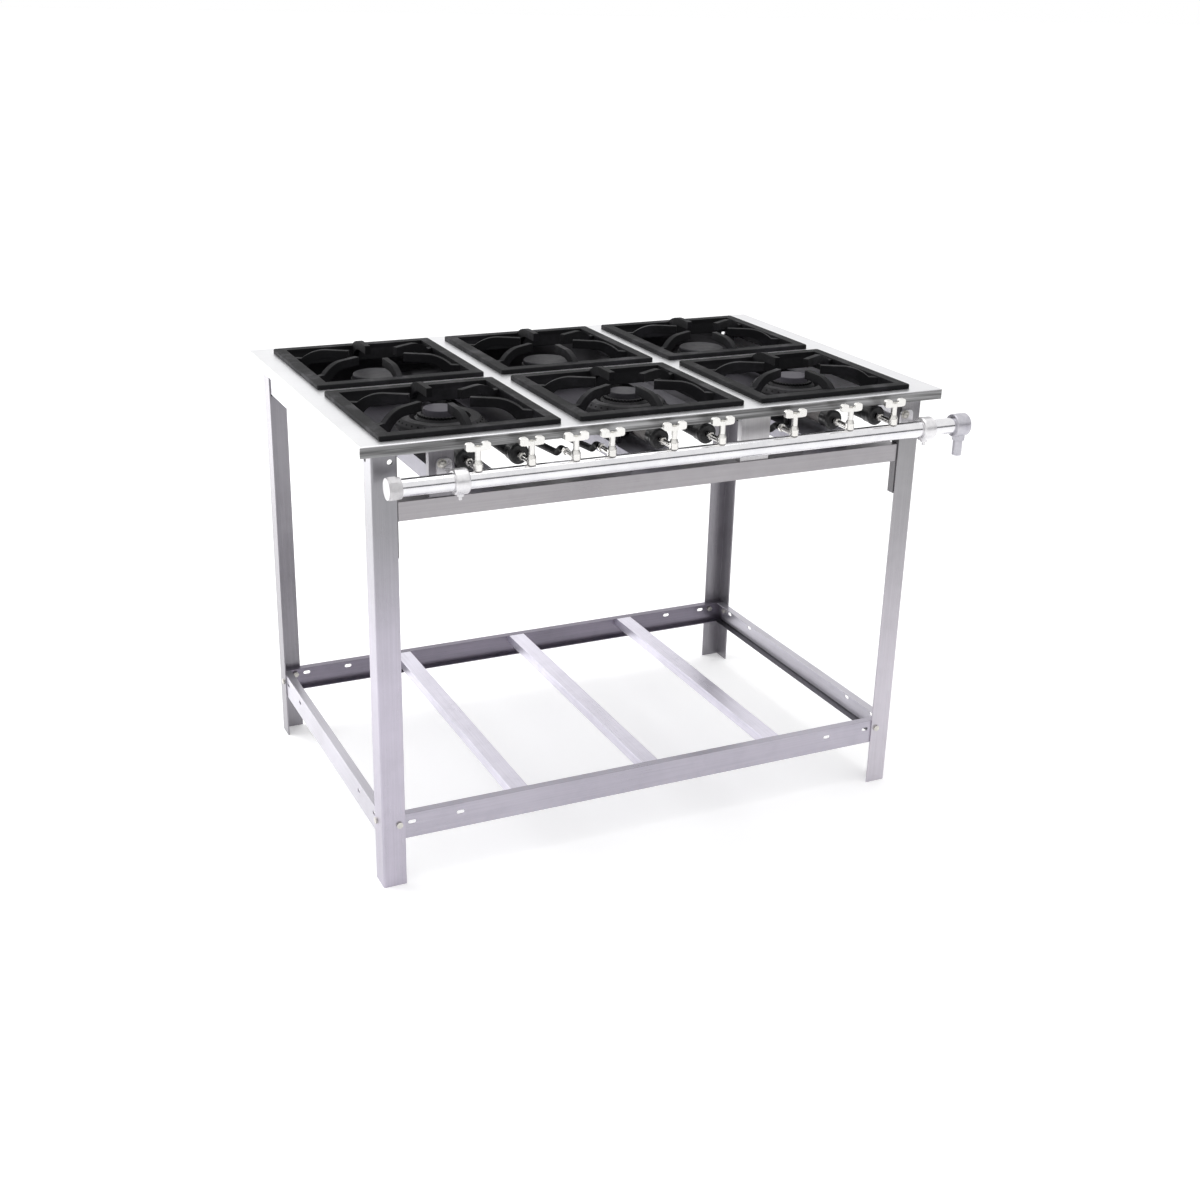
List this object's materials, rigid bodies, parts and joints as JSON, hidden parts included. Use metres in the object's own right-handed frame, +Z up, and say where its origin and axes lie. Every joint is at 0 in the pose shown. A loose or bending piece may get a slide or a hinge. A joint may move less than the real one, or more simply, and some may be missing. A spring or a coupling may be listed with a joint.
{
  "type": "industrial gas stove",
  "caption": "Free-standing industrial gas stove: cast grates and burners in a folded steel top, gas pipe with quarter-turn valves in front, angle legs and a slatted lower shelf.",
  "frame": {"origin": "on the floor, below the middle of everything the stove spans, gas pipe included", "axes": "+X to the right along the gas pipe, +Y to the back, +Z up"},
  "size_m": [1.0954, 0.7375, 0.8],
  "materials": {
    "sheet_steel": "brushed stainless steel, folded sheet",
    "apron_steel": "bright stainless steel, folded sheet",
    "leg_steel": "satin stainless steel angle",
    "shelf_steel": "satin stainless steel, folded strip",
    "support_steel": "plain zinc-plated steel sheet",
    "grate_iron": "dark graphite-coated cast iron",
    "burner_iron": "cast iron, machined ports",
    "head_iron": "cast iron, machined ports",
    "cap_iron": "cast iron, turned top",
    "tube_metal": "bare cast tube",
    "bell_black": "black heat-proof paint",
    "pipe_chrome": "bright plated steel pipe",
    "cast_fitting": "die-cast zinc, satin",
    "clamp_cast": "die-cast zinc, satin",
    "valve_nickel": "nickel-plated brass",
    "handle_metal": "die-cast zinc, nickel-plated",
    "bolt_zinc": "zinc-plated steel"
  },
  "bodies": {
    "stove": {"air_bells": "bell_black", "burner_channels": "support_steel", "corner_bracket_left": "support_steel", "corner_bracket_right": "support_steel", "dome_nuts": "bolt_zinc", "frame_bolts": "bolt_zinc", "front_apron": "apron_steel", "gas_inlet": "cast_fitting", "gas_pipe": "pipe_chrome", "inner_burner_left": "head_iron", "inner_burner_middle": "head_iron", "inner_burner_right": "head_iron", "leg_front_left": "leg_steel", "leg_front_right": "leg_steel", "leg_rear_left": "leg_steel", "leg_rear_right": "leg_steel", "outer_burner_left": "burner_iron", "outer_burner_middle": "burner_iron", "outer_burner_right": "burner_iron", "pipe_clamp_left": "clamp_cast", "pipe_clamp_right": "clamp_cast", "pipe_end_cap": "cast_fitting", "rear_apron": "apron_steel", "rear_burner_left": "tube_metal", "rear_burner_middle": "tube_metal", "rear_burner_right": "tube_metal", "shelf_rail_front": "shelf_steel", "shelf_rail_left": "shelf_steel", "shelf_rail_rear": "shelf_steel", "shelf_rail_right": "shelf_steel", "shelf_slats": "shelf_steel", "shield_plates": "support_steel", "side_apron_left": "apron_steel", "side_apron_right": "apron_steel", "top_sheet": "sheet_steel", "upright_plate_left": "support_steel", "upright_plate_middle": "support_steel", "valve_bodies": "valve_nickel"},
    "grate_front_left": {"grate_front_left": "grate_iron"},
    "grate_front_middle": {"grate_front_middle": "grate_iron"},
    "grate_front_right": {"grate_front_right": "grate_iron"},
    "grate_rear_left": {"grate_rear_left": "grate_iron"},
    "grate_rear_middle": {"grate_rear_middle": "grate_iron"},
    "grate_rear_right": {"grate_rear_right": "grate_iron"},
    "inner_cap_left": {"inner_cap_left": "cap_iron"},
    "inner_cap_middle": {"inner_cap_middle": "cap_iron"},
    "inner_cap_right": {"inner_cap_right": "cap_iron"},
    "rear_cap_left": {"rear_cap_left": "cap_iron"},
    "rear_cap_middle": {"rear_cap_middle": "cap_iron"},
    "rear_cap_right": {"rear_cap_right": "cap_iron"},
    "valve_handle_1": {"valve_handle_1": "handle_metal"},
    "valve_handle_2": {"valve_handle_2": "handle_metal"},
    "valve_handle_3": {"valve_handle_3": "handle_metal"},
    "valve_handle_4": {"valve_handle_4": "handle_metal"},
    "valve_handle_5": {"valve_handle_5": "handle_metal"},
    "valve_handle_6": {"valve_handle_6": "handle_metal"},
    "valve_handle_7": {"valve_handle_7": "handle_metal"},
    "valve_handle_8": {"valve_handle_8": "handle_metal"},
    "valve_handle_9": {"valve_handle_9": "handle_metal"}
  },
  "joints": [
    {"name": "grate_front_left_lift", "type": "slide", "parent": "stove", "child": "grate_front_left", "axis": [0, 0, 1], "range_m": [0, 0.1]},
    {"name": "grate_front_middle_lift", "type": "slide", "parent": "stove", "child": "grate_front_middle", "axis": [0, 0, 1], "range_m": [0, 0.1]},
    {"name": "grate_front_right_lift", "type": "slide", "parent": "stove", "child": "grate_front_right", "axis": [0, 0, 1], "range_m": [0, 0.1]},
    {"name": "grate_rear_left_lift", "type": "slide", "parent": "stove", "child": "grate_rear_left", "axis": [0, 0, 1], "range_m": [0, 0.1]},
    {"name": "grate_rear_middle_lift", "type": "slide", "parent": "stove", "child": "grate_rear_middle", "axis": [0, 0, 1], "range_m": [0, 0.1]},
    {"name": "grate_rear_right_lift", "type": "slide", "parent": "stove", "child": "grate_rear_right", "axis": [0, 0, 1], "range_m": [0, 0.1]},
    {"name": "inner_cap_left_lift", "type": "slide", "parent": "stove", "child": "inner_cap_left", "axis": [0, 0, 1], "range_m": [0, 0.06]},
    {"name": "inner_cap_middle_lift", "type": "slide", "parent": "stove", "child": "inner_cap_middle", "axis": [0, 0, 1], "range_m": [0, 0.06]},
    {"name": "inner_cap_right_lift", "type": "slide", "parent": "stove", "child": "inner_cap_right", "axis": [0, 0, 1], "range_m": [0, 0.06]},
    {"name": "rear_cap_left_lift", "type": "slide", "parent": "stove", "child": "rear_cap_left", "axis": [0, 0, 1], "range_m": [0, 0.06]},
    {"name": "rear_cap_middle_lift", "type": "slide", "parent": "stove", "child": "rear_cap_middle", "axis": [0, 0, 1], "range_m": [0, 0.06]},
    {"name": "rear_cap_right_lift", "type": "slide", "parent": "stove", "child": "rear_cap_right", "axis": [0, 0, 1], "range_m": [0, 0.06]},
    {"name": "valve_handle_1_turn", "type": "hinge", "parent": "stove", "child": "valve_handle_1", "pos_m": [-0.37025, -0.34825, 0.758], "axis": [0, 0, 1], "range_deg": [0, 90]},
    {"name": "valve_handle_2_turn", "type": "hinge", "parent": "stove", "child": "valve_handle_2", "pos_m": [-0.28175, -0.34825, 0.758], "axis": [0, 0, 1], "range_deg": [0, 90]},
    {"name": "valve_handle_3_turn", "type": "hinge", "parent": "stove", "child": "valve_handle_3", "pos_m": [-0.20625, -0.34825, 0.758], "axis": [0, 0, 1], "range_deg": [0, 90]},
    {"name": "valve_handle_4_turn", "type": "hinge", "parent": "stove", "child": "valve_handle_4", "pos_m": [-0.14375, -0.34825, 0.758], "axis": [0, 0, 1], "range_deg": [0, 90]},
    {"name": "valve_handle_5_turn", "type": "hinge", "parent": "stove", "child": "valve_handle_5", "pos_m": [-0.03325, -0.34825, 0.758], "axis": [0, 0, 1], "range_deg": [0, 90]},
    {"name": "valve_handle_6_turn", "type": "hinge", "parent": "stove", "child": "valve_handle_6", "pos_m": [0.05525, -0.34825, 0.758], "axis": [0, 0, 1], "range_deg": [0, 90]},
    {"name": "valve_handle_7_turn", "type": "hinge", "parent": "stove", "child": "valve_handle_7", "pos_m": [0.19325, -0.34825, 0.758], "axis": [0, 0, 1], "range_deg": [0, 90]},
    {"name": "valve_handle_8_turn", "type": "hinge", "parent": "stove", "child": "valve_handle_8", "pos_m": [0.30375, -0.34825, 0.758], "axis": [0, 0, 1], "range_deg": [0, 90]},
    {"name": "valve_handle_9_turn", "type": "hinge", "parent": "stove", "child": "valve_handle_9", "pos_m": [0.39225, -0.34825, 0.758], "axis": [0, 0, 1], "range_deg": [0, 90]}
  ]
}
